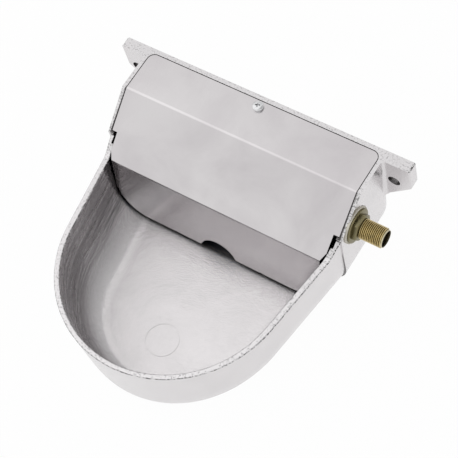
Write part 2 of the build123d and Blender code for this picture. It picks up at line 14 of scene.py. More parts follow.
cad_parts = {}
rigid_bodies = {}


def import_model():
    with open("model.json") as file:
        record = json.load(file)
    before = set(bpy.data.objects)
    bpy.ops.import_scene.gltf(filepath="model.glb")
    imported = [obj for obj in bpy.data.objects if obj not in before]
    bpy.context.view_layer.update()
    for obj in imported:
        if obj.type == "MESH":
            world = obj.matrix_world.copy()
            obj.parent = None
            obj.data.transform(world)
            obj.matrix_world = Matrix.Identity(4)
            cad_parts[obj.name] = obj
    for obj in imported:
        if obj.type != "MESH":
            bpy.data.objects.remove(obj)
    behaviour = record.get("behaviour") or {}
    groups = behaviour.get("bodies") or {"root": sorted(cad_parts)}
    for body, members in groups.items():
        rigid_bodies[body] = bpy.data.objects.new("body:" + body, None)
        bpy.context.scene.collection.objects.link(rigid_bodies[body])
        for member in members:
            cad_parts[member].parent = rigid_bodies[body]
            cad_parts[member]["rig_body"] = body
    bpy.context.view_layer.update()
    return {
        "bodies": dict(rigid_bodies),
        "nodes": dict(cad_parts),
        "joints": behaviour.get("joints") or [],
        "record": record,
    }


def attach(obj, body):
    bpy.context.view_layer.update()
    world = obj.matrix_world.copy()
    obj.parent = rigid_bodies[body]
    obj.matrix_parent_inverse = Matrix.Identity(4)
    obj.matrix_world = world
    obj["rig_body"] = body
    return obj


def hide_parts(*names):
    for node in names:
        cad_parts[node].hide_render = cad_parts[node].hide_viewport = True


LOG = logging.getLogger("drinking_bowl")
MM = 0.001

QUARTER_TURN = pi / 2
FACING = 0.9  # cosine above which a face counts as looking along an axis
TOUCHING = 0.01 * MM  # faces nearer than this lie in one plane

Socket = bpy.types.NodeSocket
Limit = tuple[str, float, float]
FaceTest = Callable[[Vector, Vector], bool]


class Rule(Enum):
    """How a mask joins its limits, in the Math node's own words."""

    ALL = "MULTIPLY"
    ANY = "MAXIMUM"


class Combine(Enum):
    """How a tool solid changes a piece, in the Boolean modifier's own words."""

    CUT_AWAY = "DIFFERENCE"
    KEEP_INSIDE = "INTERSECT"


def linear(hex_colour: str) -> tuple[float, float, float, float]:
    """Turn an sRGB hex colour into linear red, green, blue and alpha.

    Args:
        hex_colour: Six hex digits after a hash, such as "#cccacb".

    Returns:
        The linear colour, with an alpha of 1.
    """
    parts = [int(hex_colour[i : i + 2], 16) / 255 for i in (1, 3, 5)]
    curve = [p / 12.92 if p <= 0.04045 else ((p + 0.055) / 1.055) ** 2.4 for p in parts]
    return (curve[0], curve[1], curve[2], 1.0)


def per_metre(millimetres: float) -> float:
    """Scale of a noise or cell pattern whose features are about this many millimetres across."""
    return 1.0 / (millimetres * MM)


def add_node(
    tree: bpy.types.NodeTree, kind: str, inputs: dict[str | int, object], **settings: object
) -> bpy.types.Node:
    """Add one shader node with its settings, values and links.

    Args:
        tree: Node tree of a material or of the world.
        kind: Class of the node, such as "ShaderNodeTexNoise".
        inputs: For each input, by name or number, its value or the output linked to it.
        **settings: The node's own settings, such as its operation.

    Returns:
        The new node.
    """
    made = tree.nodes.new(kind)
    for name, value in settings.items():
        setattr(made, name, value)
    for key, value in inputs.items():
        if isinstance(value, bpy.types.NodeSocket):
            tree.links.new(value, made.inputs[key])
        else:
            made.inputs[key].default_value = value
    return made


@dataclass(frozen=True)
class Pattern:
    """Cloudy noise with clouds of a real size, drawn out where its stretch is below 1."""

    size_mm: float
    detail: float = 5.0
    fineness: float = 0.6
    distortion: float = 0.0
    stretch: tuple[float, float, float] = (1.0, 1.0, 1.0)


@dataclass(frozen=True)
class Mask:
    """Where a mark shows.

    Each limit names a value, where that value leaves the mask empty, and where it fills it.
    """

    limits: list[Limit]
    rule: Rule = Rule.ALL


@dataclass(frozen=True)
class Recipe:
    """What makes up a finish: named values, and what they change on the surface.

    Coats give a value, its share and a hex colour, from the lowest coat up. Dulling gives what
    a value adds to the roughness where it is 1. Reliefs give a value, its strength and its
    height in millimetres, from the lowest up. A shift is a value moved by an amount of another.
    """

    patterns: dict[str, Pattern]
    masks: dict[str, Mask]
    coats: list[tuple[str, float, str]]
    dulling: dict[str, float]
    reliefs: list[tuple[str, float, float]]
    shifts: dict[str, tuple[str, float, str]] = field(default_factory=dict)


@dataclass(frozen=True)
class Finish:
    """What each finish of the drinking bowl has in common."""

    name: str
    slot: str
    colour: str
    roughness: float

    def make(self) -> bpy.types.Material:
        """Build the material.

        Returns:
            A material with a Principled shader that follows this finish's recipe.
        """
        material = bpy.data.materials.new(self.name)
        material.use_nodes = True
        tree = material.node_tree
        tree.nodes.clear()
        recipe = self.recipe()
        shader = add_node(tree, "ShaderNodeBsdfPrincipled", self.nature())
        self.paint(tree, shader, recipe, self.values(tree, recipe))
        add_node(tree, "ShaderNodeOutputMaterial", {"Surface": shader.outputs[0]})
        return material

    def nature(self) -> dict[str, float]:
        """Shader inputs that are the same all over the surface."""
        return {"Metallic": 1.0}

    def recipe(self) -> Recipe:
        """Recipe of the finish; each finish has its own."""
        raise NotImplementedError

    def survey(self, tree: bpy.types.NodeTree, place: Socket) -> dict[str, Socket]:
        """Measure what the masks need besides the patterns.

        Args:
            tree: Node tree of the material.
            place: Object coordinates.

        Returns:
            Each measured value by its name.
        """
        return {}

    def values(self, tree: bpy.types.NodeTree, recipe: Recipe) -> dict[str, Socket]:
        """Work out the recipe's measured values, patterns, shifts and masks, in that order.

        Args:
            tree: Node tree of the material.
            recipe: The finish's recipe.

        Returns:
            Each value by its name.
        """
        place = add_node(tree, "ShaderNodeTexCoord", {}).outputs["Object"]
        values = self.survey(tree, place)
        for name, pattern in recipe.patterns.items():
            drawn = add_node(
                tree, "ShaderNodeMapping", {"Vector": place, "Scale": pattern.stretch}
            ).outputs["Vector"]
            values[name] = add_node(
                tree, "ShaderNodeTexNoise",
                {
                    "Vector": drawn, "Scale": per_metre(pattern.size_mm), "Detail": pattern.detail,
                    "Roughness": pattern.fineness, "Distortion": pattern.distortion,
                },
            ).outputs["Fac"]
        for name, (mover, amount, moved) in recipe.shifts.items():
            values[name] = add_node(
                tree, "ShaderNodeMath", {0: values[mover], 1: amount, 2: values[moved]},
                operation="MULTIPLY_ADD",
            ).outputs[0]
        for name, mask in recipe.masks.items():
            ramps = [
                add_node(
                    tree, "ShaderNodeMapRange",
                    {"Value": values[limit], "From Min": empty, "From Max": full},
                ).outputs["Result"]
                for limit, empty, full in mask.limits
            ]
            values[name] = ramps[0]
            for ramp in ramps[1:]:
                values[name] = add_node(
                    tree, "ShaderNodeMath", {0: values[name], 1: ramp}, operation=mask.rule.value
                ).outputs[0]
        return values

    def paint(
        self, tree: bpy.types.NodeTree, shader: bpy.types.Node, recipe: Recipe,
        values: dict[str, Socket],
    ) -> None:
        """Link the recipe's coats, dulling and reliefs to the shader.

        Args:
            tree: Node tree of the material.
            shader: The Principled shader.
            recipe: The finish's recipe.
            values: Each value by its name.
        """
        colour = linear(self.colour)
        for name, share, over in recipe.coats:
            shown = add_node(
                tree, "ShaderNodeMath", {0: values[name], 1: share}, operation="MULTIPLY"
            ).outputs[0]
            colour = add_node(
                tree, "ShaderNodeMix", {0: shown, 6: colour, 7: linear(over)}, data_type="RGBA"
            ).outputs[2]
        tree.links.new(colour, shader.inputs["Base Color"])
        roughness = self.roughness
        for name, change in recipe.dulling.items():
            roughness = add_node(
                tree, "ShaderNodeMath", {0: values[name], 1: change, 2: roughness},
                operation="MULTIPLY_ADD",
            ).outputs[0]
        tree.links.new(roughness, shader.inputs["Roughness"])
        under = {}
        for name, strength, height_mm in recipe.reliefs:
            under["Normal"] = add_node(
                tree, "ShaderNodeBump",
                {"Height": values[name], "Strength": strength, "Distance": height_mm * MM, **under},
            ).outputs["Normal"]
        tree.links.new(under["Normal"], shader.inputs["Normal"])


@dataclass(frozen=True)
class SandCastAluminium(Finish):
    """Cast aluminium as it leaves the sand, tumbled bright, with its rim ground flat.

    The eye sees pale silver with a sandy grain, darker inner walls with long scuffs left by
    tumbling, and a bright rim whose edges break into specks. Painted shade darkens the float
    chamber under the cover, the rounding between wall and floor and the bolt holes, and a
    painted shadow lies on the floor in front of the cover.
    """

    name: str = "cast_aluminium"
    slot: str = "cast_aluminium"
    colour: str = "#dbd8d9"
    roughness: float = 0.14
    skin_colour: str = "#c2c0c1"
    ground_colour: str = "#d2d0d1"
    burr_colour: str = "#dedddd"
    # painted shade inside the bolt holes
    bolt_hole_shade_colour: str = "#a9a7a7"
    dark_speck_colour: str = "#2a2828"
    # painted shade inside the float chamber, under the cover
    chamber_shade_colour: str = "#605d5d"
    # painted shadow on the floor in front of the cover
    shadow_band_colour: str = "#7d7b7b"
    # painted shade in the rounding between wall and floor
    corner_shade_colour: str = "#b9b7b8"
    grain_mm: float = 1.3  # sand grit is 0.3 mm, drawn coarser so that it shows
    scuff_mm: float = 7.0
    scuff_length_mm: float = 80.0
    patch_mm: float = 48.0
    pit_mm: float = 5.0
    burr_mm: float = 2.0
    basin_middle: tuple[float, float, float] = (0.0, -165.0 * MM, 0.0)
    bolt_holes_middle: tuple[float, float, float] = (-2.7 * MM, 0.0, 0.0)
    bolt_holes_half: tuple[float, float, float] = (151.5 * MM, 0.0, 0.0)
    draft_start: float = -46.0 * MM
    draft_end: float = -92.0 * MM

    def survey(self, tree: bpy.types.NodeTree, place: Socket) -> dict[str, Socket]:
        """Measure place, tilt, and distances from the basin's middle and the bolt holes.

        Args:
            tree: Node tree of the material.
            place: Object coordinates.

        Returns:
            Each measured value by its name; "up" is 1 on a level face and 0 on a wall, and
            "outward" is negative on faces that look at the basin's middle.
        """
        spot = add_node(tree, "ShaderNodeSeparateXYZ", {"Vector": place}).outputs
        facing = add_node(tree, "ShaderNodeNewGeometry", {}).outputs["Normal"]
        from_middle = add_node(
            tree, "ShaderNodeVectorMath", {0: place, 1: self.basin_middle}, operation="SUBTRACT"
        ).outputs["Vector"]
        from_hole = place
        for how, by in (
            ("SUBTRACT", self.bolt_holes_middle),
            ("ABSOLUTE", (0.0, 0.0, 0.0)),
            ("SUBTRACT", self.bolt_holes_half),
            ("MULTIPLY", (1.0, 0.0, 1.0)),
        ):
            from_hole = add_node(
                tree, "ShaderNodeVectorMath", {0: from_hole, 1: by}, operation=how
            ).outputs["Vector"]
        return {
            "y": spot["Y"],
            "z": spot["Z"],
            "sideways": add_node(
                tree, "ShaderNodeMath", {0: spot["X"]}, operation="ABSOLUTE"
            ).outputs[0],
            "up": add_node(tree, "ShaderNodeSeparateXYZ", {"Vector": facing}).outputs["Z"],
            "outward": add_node(
                tree, "ShaderNodeVectorMath", {0: from_middle, 1: facing}, operation="DOT_PRODUCT"
            ).outputs["Value"],
            "from_bolt_hole": add_node(
                tree, "ShaderNodeVectorMath", {0: from_hole}, operation="LENGTH"
            ).outputs["Value"],
            "cheek_draft": add_node(
                tree, "ShaderNodeMapRange",
                {"Value": spot["Y"], "From Min": self.draft_start, "From Max": self.draft_end},
            ).outputs["Result"],
        }

    def recipe(self) -> Recipe:
        """Grain, scuffs in the basin, a ground rim, painted shade and a painted shadow.

        Returns:
            The casting's recipe, with places in metres and tilts as the height of the normal.
        """
        drawn_out = self.scuff_mm / self.scuff_length_mm
        below_rim = ("z", -13.0 * MM, -17.0 * MM)
        on_rim = ("z", -17.0 * MM, -15.0 * MM)
        return Recipe(
            patterns={
                "grain": Pattern(self.grain_mm, 3.0, 0.70),
                "patches": Pattern(self.patch_mm, 4.0, 0.60),
                "pits": Pattern(self.pit_mm, 5.0, 0.72),
                "burrs": Pattern(self.burr_mm, 4.0, 0.70),
                "scuffs": Pattern(self.scuff_mm, 6.0, 0.66, stretch=(drawn_out, drawn_out, 1.0)),
            },
            # Noise added to a place or a tilt breaks up the edge of the mask made from it.
            shifts={
                "chamber_shade_edge": ("burrs", 4.0 * MM, "y"),
                "shadow_band_edge": ("grain", 110.0 * MM, "y"),
                "corner_shade_edge": ("grain", 0.12, "up"),
                "chamber_shade_side": ("cheek_draft", -0.9 * MM, "sideways"),
            },
            masks={
                "skin": Mask([("patches", 0.35, 0.75)]),
                "inner": Mask(
                    [("outward", 0.0, -12.0 * MM), ("sideways", 135.5 * MM, 134.5 * MM)]
                ),
                "inner_low": Mask([("inner", 0.0, 1.0), below_rim]),
                "inner_wall": Mask([("inner", 0.0, 1.0), ("up", 0.75, 0.30)]),
                "covered": Mask(
                    [
                        ("inner_wall", 0.0, 1.0),
                        ("z", -22.0 * MM, -29.0 * MM),
                        ("y", -92.5 * MM, -92.0 * MM),
                    ],
                    Rule.ANY,
                ),
                # Painted shade inside the float chamber under the cover, reaching the floor at the
                # cover's lower edge.
                "chamber": Mask(
                    [
                        ("covered", 0.0, 1.0),
                        ("chamber_shade_side", 134.8 * MM, 134.5 * MM),
                        ("chamber_shade_edge", -125.5 * MM, -121.5 * MM),
                        ("y", -4.6 * MM, -4.9 * MM),
                        ("z", -97.0 * MM, -96.0 * MM),
                        ("outward", 29.5 * MM, 28.8 * MM),
                    ]
                ),
                "scuffed": Mask(
                    [
                        ("inner_wall", 0.0, 1.0),
                        below_rim,
                        ("chamber", 1.0, 0.0),
                        ("scuffs", 0.42, 0.64),
                    ]
                ),
                # Painted shade on the rounding between wall and floor, and on the floor's back.
                "corner": Mask(
                    [
                        ("inner_low", 0.0, 1.0),
                        ("corner_shade_edge", 1.035, 1.015),
                        ("up", 0.15, 0.45),
                    ]
                ),
                # Painted shadow on the floor in front of and under the cover, its edge broken by
                # the grain.
                "shadow_band": Mask(
                    [("shadow_band_edge", -88.0 * MM, -80.0 * MM), ("up", 0.75, 0.95), below_rim]
                ),
                "ground": Mask([on_rim, ("up", 0.72, 0.80)]),
                "rim_edge": Mask([on_rim, ("up", 0.93, 0.70), ("up", 0.04, 0.20)]),
                # Painted shade inside the ears' bolt holes.
                "bore": Mask([("from_bolt_hole", 6.75 * MM, 6.60 * MM)]),
                # Grinding leaves a burr along the rim; dark specks mark its edges and dark pits its
                # top.
                "rim_pits": Mask([("ground", 0.0, 1.0), ("burrs", 0.53, 0.64)]),
                "specks": Mask(
                    [("rim_edge", 0.0, 1.0), ("burrs", 0.46, 0.54), ("patches", 0.28, 0.42)]
                ),
                # A limit that starts below 0 leaves three tenths of the grit outside the basin.
                "grit": Mask([("grain", 0.0, 1.0), ("inner_low", -3 / 7, 1.0)]),
                "grit_pits": Mask([("pits", 0.0, 1.0), ("inner_low", -3 / 7, 1.0)]),
            },
            coats=[
                ("skin", 0.30, self.skin_colour),
                ("scuffed", 0.45, self.skin_colour),
                # The corner, band, bore and chamber coats are painted shade and a painted shadow.
                ("corner", 0.85, self.corner_shade_colour),
                ("shadow_band", 0.28, self.shadow_band_colour),
                ("ground", 0.70, self.ground_colour),
                ("rim_edge", 1.0, self.burr_colour),
                ("bore", 1.0, self.bolt_hole_shade_colour),
                ("chamber", 0.92, self.chamber_shade_colour),
                ("rim_pits", 0.45, self.dark_speck_colour),
                ("specks", 0.95, self.dark_speck_colour),
            ],
            dulling={"inner_wall": 0.06, "grain": 0.16, "scuffed": -0.12},
            reliefs=[("grit", 0.9, 0.55), ("grit_pits", 0.4, 0.8), ("scuffed", 0.7, 1.1)],
        )


@dataclass(frozen=True)
class SatinStainless(Finish):
    """Stainless sheet, cold rolled and satin, bent on a brake.

    The eye sees a smooth pale grey that mirrors softly, with a faint upright grain and
    smears that cloud the reflections.
    """

    name: str = "satin_stainless_sheet"
    slot: str = "stainless"
    colour: str = "#d2cfd0"
    roughness: float = 0.10
    smear_colour: str = "#c4c0c2"
    grain_mm: float = 1.2  # rolling lines are 0.05 mm, drawn coarser so that they show
    grain_length_mm: float = 60.0
    smear_mm: float = 70.0

    def nature(self) -> dict[str, float]:
        """Metal whose gloss is drawn out a little by the rolling."""
        return {"Metallic": 1.0, "Anisotropic": 0.25}

    def recipe(self) -> Recipe:
        """A faint grain across the bends, and cloudy smears.

        Returns:
            The sheet's recipe.
        """
        drawn_out = self.grain_mm / self.grain_length_mm
        return Recipe(
            patterns={
                "lines": Pattern(self.grain_mm, 3.0, stretch=(1.0, drawn_out, drawn_out)),
                "smears": Pattern(self.smear_mm, 4.0, 0.5, distortion=0.5),
            },
            masks={"cloudy": Mask([("smears", 0.35, 0.70)])},
            coats=[("cloudy", 1.0, self.smear_colour)],
            dulling={"cloudy": 0.06, "lines": 0.08},
            reliefs=[("lines", 0.02, 0.10), ("smears", 0.02, 2.0)],
        )


@dataclass(frozen=True)
class PlainMetal(Finish):
    """Turned or plated metal of one colour, with fine tool lines and handling marks.

    The eye sees a bright or dull metal whose shine breaks up a little along its surface.
    """

    worn_colour: str
    mark_mm: float
    relief_mm: float = 0.05

    def recipe(self) -> Recipe:
        """Marks that change the colour and the shine, over a slight relief.

        Returns:
            The metal's recipe.
        """
        return Recipe(
            patterns={"marks": Pattern(self.mark_mm)},
            masks={"worn": Mask([("marks", 0.40, 0.68)])},
            coats=[("worn", 1.0, self.worn_colour)],
            dulling={"worn": 0.12},
            reliefs=[("marks", 0.4, self.relief_mm)],
        )


@dataclass(frozen=True)
class InletBrass(Finish):
    """Brass fitting, hot forged and then threaded on a lathe.

    The eye sees a dull olive flange and hexagon, and a freshly cut golden thread with painted
    shade in its roots; painted shade darkens the bore.
    """

    name: str = "inlet_brass"
    slot: str = "brass"
    # The dark olive is painted shade, left showing in the thread's roots.
    colour: str = "#6b5a30"
    roughness: float = 0.28
    crest_colour: str = "#d9c48c"
    tip_colour: str = "#d6cdae"
    forged_colour: str = "#7d765a"
    # painted shade inside the bore
    bore_shade_colour: str = "#15130d"
    mark_mm: float = 4.0
    hexagon_face: tuple[float, float, float] = (146.0 * MM, -67.5 * MM, -6.0 * MM)

    def survey(self, tree: bpy.types.NodeTree, place: Socket) -> dict[str, Socket]:
        """Measure from the middle of the hexagon's outer face.

        Args:
            tree: Node tree of the material.
            place: Object coordinates.

        Returns:
            The distance beyond the face, and the radius from the inlet's axis.
        """
        centred = add_node(
            tree, "ShaderNodeVectorMath", {0: place, 1: self.hexagon_face}, operation="SUBTRACT"
        ).outputs["Vector"]
        across = add_node(
            tree, "ShaderNodeVectorMath", {0: centred, 1: (0.0, 1.0, 1.0)}, operation="MULTIPLY"
        ).outputs["Vector"]
        return {
            "beyond": add_node(tree, "ShaderNodeSeparateXYZ", {"Vector": centred}).outputs["X"],
            "radius": add_node(
                tree, "ShaderNodeVectorMath", {0: across}, operation="LENGTH"
            ).outputs["Value"],
        }

    def recipe(self) -> Recipe:
        """Dull before the hexagon's outer face, bright beyond, with painted shade in roots and
        bore.

        Returns:
            The fitting's recipe, with places in metres.
        """
        return Recipe(
            patterns={"marks": Pattern(self.mark_mm, fineness=0.65)},
            masks={
                # Painted shade in the thread's roots gives way to the golden crests.
                "crest": Mask([("radius", 9.45 * MM, 10.30 * MM)]),
                "tip": Mask([("beyond", 23.6 * MM, 23.9 * MM)]),
                "tarnish": Mask([("marks", 0.45, 0.72)]),
                "forged": Mask([("beyond", 0.6 * MM, 0.0)]),
                # Painted shade inside the bore.
                "bore_shade": Mask([("radius", 8.9 * MM, 8.6 * MM)]),
            },
            coats=[
                ("crest", 1.0, self.crest_colour),
                ("tip", 1.0, self.tip_colour),
                ("tarnish", 0.55, self.forged_colour),
                ("forged", 1.0, self.forged_colour),
                ("bore_shade", 0.92, self.bore_shade_colour),
            ],
            dulling={"marks": 0.16},
            reliefs=[("marks", 0.35, 0.12)],
        )


@dataclass(frozen=True)
class Moulded(Finish):
    """Moulded plastic, rubber or pressed fibre, with a mottled colour and a slight texture.

    The eye sees an even, matt or waxy surface with a fine orange-peel or fibrous relief.
    """

    mottle_colour: str
    mottle_mm: float
    relief_mm: float
    ior: float = 1.5

    def nature(self) -> dict[str, float]:
        """Bend of light in the plastic, rubber or fibre."""
        return {"IOR": self.ior}

    def recipe(self) -> Recipe:
        """A soft mottle with the relief of the mould or fibres.

        Returns:
            The moulding's recipe.
        """
        return Recipe(
            patterns={"mottle": Pattern(self.mottle_mm, 4.0)},
            masks={},
            coats=[("mottle", 1.0, self.mottle_colour)],
            dulling={"mottle": 0.2},
            reliefs=[("mottle", 0.4, self.relief_mm)],
        )


@dataclass
class Finishes:
    """Every finish of the drinking bowl, each made once and shared."""

    aluminium: Finish = SandCastAluminium()
    stainless: Finish = SatinStainless()
    inlet: Finish = InletBrass()
    screw: Finish = PlainMetal(
        "bright_stainless_screw", "screw_steel", "#dcdcdd", 0.14, "#c0c0c2", 2.5
    )
    brass: Finish = PlainMetal("turned_brass", "brass", "#b5934f", 0.32, "#8a7440", 3.0)
    plated: Finish = PlainMetal(
        "zinc_plated_steel", "plated_steel", "#c3c4c2", 0.33, "#9c9d98", 2.2
    )
    fibre: Finish = Moulded("fibre_washer", "fibre", "#e9e5da", 0.65, "#d8d2c2", 1.6, 0.12)
    rubber: Finish = Moulded("nitrile_rubber", "rubber", "#232322", 0.52, "#191918", 2.0, 0.06)
    acetal: Finish = Moulded(
        "acetal_nozzle", "jet_plastic", "#e6e5df", 0.28, "#dbdad3", 3.0, 0.03
    )
    float_plastic: Finish = Moulded(
        "polypropylene_float", "float_plastic", "#27549a", 0.32, "#1f4a8c", 6.0, 0.06
    )
    made: dict[str, bpy.types.Material] = field(default_factory=dict)

    def material(self, finish: Finish) -> bpy.types.Material:
        """Make a finish's material the first time, and reuse it afterwards.

        Args:
            finish: One of the finishes.

        Returns:
            Its material.
        """
        if finish.name not in self.made:
            self.made[finish.name] = finish.make()
        return self.made[finish.name]


class Bench:
    """Modelling steps that every hand-made piece uses, each with Blender's own operators."""

    @staticmethod
    def clear() -> None:
        """Leave edit mode and deselect everything."""
        if bpy.context.object is not None and bpy.context.object.mode != "OBJECT":
            bpy.ops.object.mode_set(mode="OBJECT")
        bpy.ops.object.select_all(action="DESELECT")

    @staticmethod
    def only(piece: bpy.types.Object) -> None:
        """Make one piece the active and only selected object.

        Args:
            piece: The piece.
        """
        Bench.clear()
        piece.select_set(True)
        bpy.context.view_layer.objects.active = piece

    @staticmethod
    def edit(piece: bpy.types.Object) -> None:
        """Open one piece in edit mode with nothing selected.

        Args:
            piece: The piece.
        """
        Bench.only(piece)
        bpy.ops.object.mode_set(mode="EDIT")
        bpy.ops.mesh.select_all(action="DESELECT")

    @staticmethod
    def done() -> None:
        """Leave edit mode."""
        bpy.ops.object.mode_set(mode="OBJECT")

    @staticmethod
    def bar(
        radius: float, start: float, end: float, vertices: int, bevel: float = 0.0
    ) -> bpy.types.Object:
        """Add a round bar on the +Z axis, with the edges of its ends rounded off.

        Args:
            radius: Radius of the bar.
            start: Height of its lower end.
            end: Height of its upper end.
            vertices: How many sides it has.
            bevel: How much is taken off the edges of both ends.

        Returns:
            The bar, with its place in its mesh.
        """
        Bench.clear()
        bpy.ops.mesh.primitive_cylinder_add(
            vertices=vertices, radius=radius, depth=end - start,
            location=(0.0, 0.0, (start + end) / 2),
        )
        piece = bpy.context.object
        Bench.settle(piece)
        if bevel:
            Bench.edit(piece)
            Bench.pick(piece, lambda centre, normal: abs(normal.z) > FACING)
            bpy.ops.mesh.bevel(offset=bevel, segments=2, affect="EDGES")
            Bench.done()
        return piece

    @staticmethod
    def pick(piece: bpy.types.Object, wanted: FaceTest) -> None:
        """Select, in edit mode, only the faces that a test wants.

        Args:
            piece: The piece that is open in edit mode.
            wanted: Says from a face's centre and normal whether to select it.
        """
        mesh = bmesh.from_edit_mesh(piece.data)
        chosen = [f for f in mesh.faces if wanted(f.calc_center_median(), f.normal)]
        for face in mesh.faces:
            face.select_set(False)
        for face in chosen:
            face.select_set(True)
        bmesh.update_edit_mesh(piece.data)

    @staticmethod
    def extrude(by: Vector, resize: float = 1.0, centre: Vector | None = None) -> None:
        """Extrude the selected faces, and then scale them.

        Args:
            by: How far and which way the faces move.
            resize: Scale of the moved faces.
            centre: Point that the faces are scaled about.
        """
        bpy.ops.mesh.extrude_region_move(TRANSFORM_OT_translate={"value": tuple(by)})
        if resize != 1.0 and centre is not None:
            bpy.ops.transform.resize(value=(resize,) * 3, center_override=tuple(centre))

    @staticmethod
    def apply(piece: bpy.types.Object, kind: str, **settings: object) -> None:
        """Add one modifier to a piece and apply it.

        Args:
            piece: The piece to change.
            kind: Kind of modifier, such as "BOOLEAN".
            **settings: The modifier's settings.
        """
        Bench.only(piece)
        modifier = piece.modifiers.new(kind.lower(), kind)
        for name, value in settings.items():
            setattr(modifier, name, value)
        bpy.ops.object.modifier_apply(modifier=modifier.name)

    @staticmethod
    def combine(piece: bpy.types.Object, tool: bpy.types.Object, how: Combine) -> None:
        """Combine a piece with a tool solid, and throw the tool away.

        Args:
            piece: The piece that is kept.
            tool: The solid that cuts or trims it.
            how: Whether the tool is cut away, or the piece is kept only inside it.
        """
        Bench.apply(piece, "BOOLEAN", object=tool, operation=how.value, solver="EXACT")
        bpy.data.objects.remove(tool, do_unlink=True)

    @staticmethod
    def join(pieces: list[bpy.types.Object], name: str) -> bpy.types.Object:
        """Join pieces into the first one and name it.

        Args:
            pieces: The pieces to join.
            name: Name of the joined piece.

        Returns:
            The joined piece.
        """
        Bench.clear()
        for piece in pieces:
            piece.select_set(True)
        bpy.context.view_layer.objects.active = pieces[0]
        if len(pieces) > 1:
            bpy.ops.object.join()
        pieces[0].name = name
        pieces[0].data.name = name
        return pieces[0]

    @staticmethod
    def settle(piece: bpy.types.Object) -> None:
        """Put a piece's place, turn and size into its mesh.

        Args:
            piece: The piece.
        """
        Bench.only(piece)
        bpy.ops.object.transform_apply(location=True, rotation=True, scale=True)

    @staticmethod
    def lay(piece: bpy.types.Object, place: Matrix) -> None:
        """Move a piece that was modelled round +Z to its place, and settle it.

        Args:
            piece: The piece.
            place: Takes +Z to the piece's axis, and the origin to its start.
        """
        piece.matrix_world = place
        Bench.settle(piece)

    @staticmethod
    def finish(piece: bpy.types.Object, angle: float = 35.0) -> None:
        """Turn a piece's faces outwards and smooth it.

        Args:
            piece: The piece.
            angle: Edges that turn by more than this many degrees stay sharp.
        """
        Bench.edit(piece)
        bpy.ops.mesh.select_all(action="SELECT")
        bpy.ops.mesh.normals_make_consistent(inside=False)
        Bench.done()
        bpy.ops.object.shade_smooth_by_angle(angle=radians(angle))


@dataclass
class ScrewThread:
    """One thread, modelled round +Z from z = 0 as a helical ridge over a plain core."""

    crest_radius: float
    core_radius: float
    pitch: float
    length: float
    lead_in: float
    steps: int = 40
    crest_share: float = 0.30
    flank_share: float = 0.86
    buried_share: float = 0.12
    rounding_share: float = 0.10
    sides: int = 64

    def ridge(self) -> bpy.types.Object:
        """Turn a trapezoid with a rounded crest round the axis.

        Returns:
            A closed helical ridge, one turn longer than the thread at each end.
        """
        depth = self.crest_radius - self.core_radius
        buried = self.buried_share * depth
        Bench.clear()
        bpy.ops.mesh.primitive_plane_add(
            size=1.0,
            location=(self.core_radius + (depth - buried) / 2, 0.0, -self.pitch),
            rotation=(QUARTER_TURN, 0.0, 0.0),
        )
        piece = bpy.context.object
        piece.scale = (depth + buried, self.flank_share * self.pitch, 1.0)
        Bench.settle(piece)
        Bench.edit(piece)
        mesh = bmesh.from_edit_mesh(piece.data)
        bpy.ops.mesh.select_mode(type="VERT")
        for vertex in mesh.verts:
            vertex.select_set(vertex.co.x > self.core_radius + 0.5 * depth)
        mesh.select_flush_mode()
        bmesh.update_edit_mesh(piece.data)
        bpy.ops.transform.resize(
            value=(1.0, 1.0, self.crest_share), center_override=(0.0, 0.0, -self.pitch)
        )
        bpy.ops.mesh.bevel(offset=self.rounding_share * self.pitch, segments=2, affect="VERTICES")
        Bench.done()
        turns = round(self.length / self.pitch) + 1
        Bench.apply(
            piece, "SCREW", axis="Z", angle=2 * pi, screw_offset=self.pitch, iterations=turns,
            steps=self.steps, render_steps=self.steps, use_normal_calculate=True,
        )
        Bench.edit(piece)
        bpy.ops.mesh.select_mode(type="EDGE")
        bpy.ops.mesh.select_non_manifold()
        bpy.ops.mesh.fill_holes(sides=0)
        bpy.ops.mesh.select_all(action="SELECT")
        bpy.ops.mesh.normals_make_consistent(inside=False)
        bpy.ops.mesh.select_mode(type="FACE")
        Bench.done()
        return piece

    def envelope(self) -> bpy.types.Object:
        """Make the bar that the thread was cut on, coned at its far end.

        Returns:
            A closed bar with a lead-in, from z = 0 to the thread's length.
        """
        piece = Bench.bar(self.crest_radius, 0.0, self.length - self.lead_in, self.sides)
        Bench.edit(piece)
        Bench.pick(piece, lambda centre, normal: normal.z > FACING)
        Bench.extrude(
            Vector((0.0, 0.0, self.lead_in)), self.core_radius / self.crest_radius,
            Vector((0.0, 0.0, self.length)),
        )
        Bench.done()
        return piece

    def make(self, place: Matrix) -> bpy.types.Object:
        """Build the trimmed ridge at its place.

        Args:
            place: Takes +Z to the thread's axis, and the origin to where it starts.

        Returns:
            The ridge, ready to join to its core.
        """
        piece = self.ridge()
        Bench.combine(piece, self.envelope(), Combine.KEEP_INSIDE)
        Bench.lay(piece, place)
        return piece


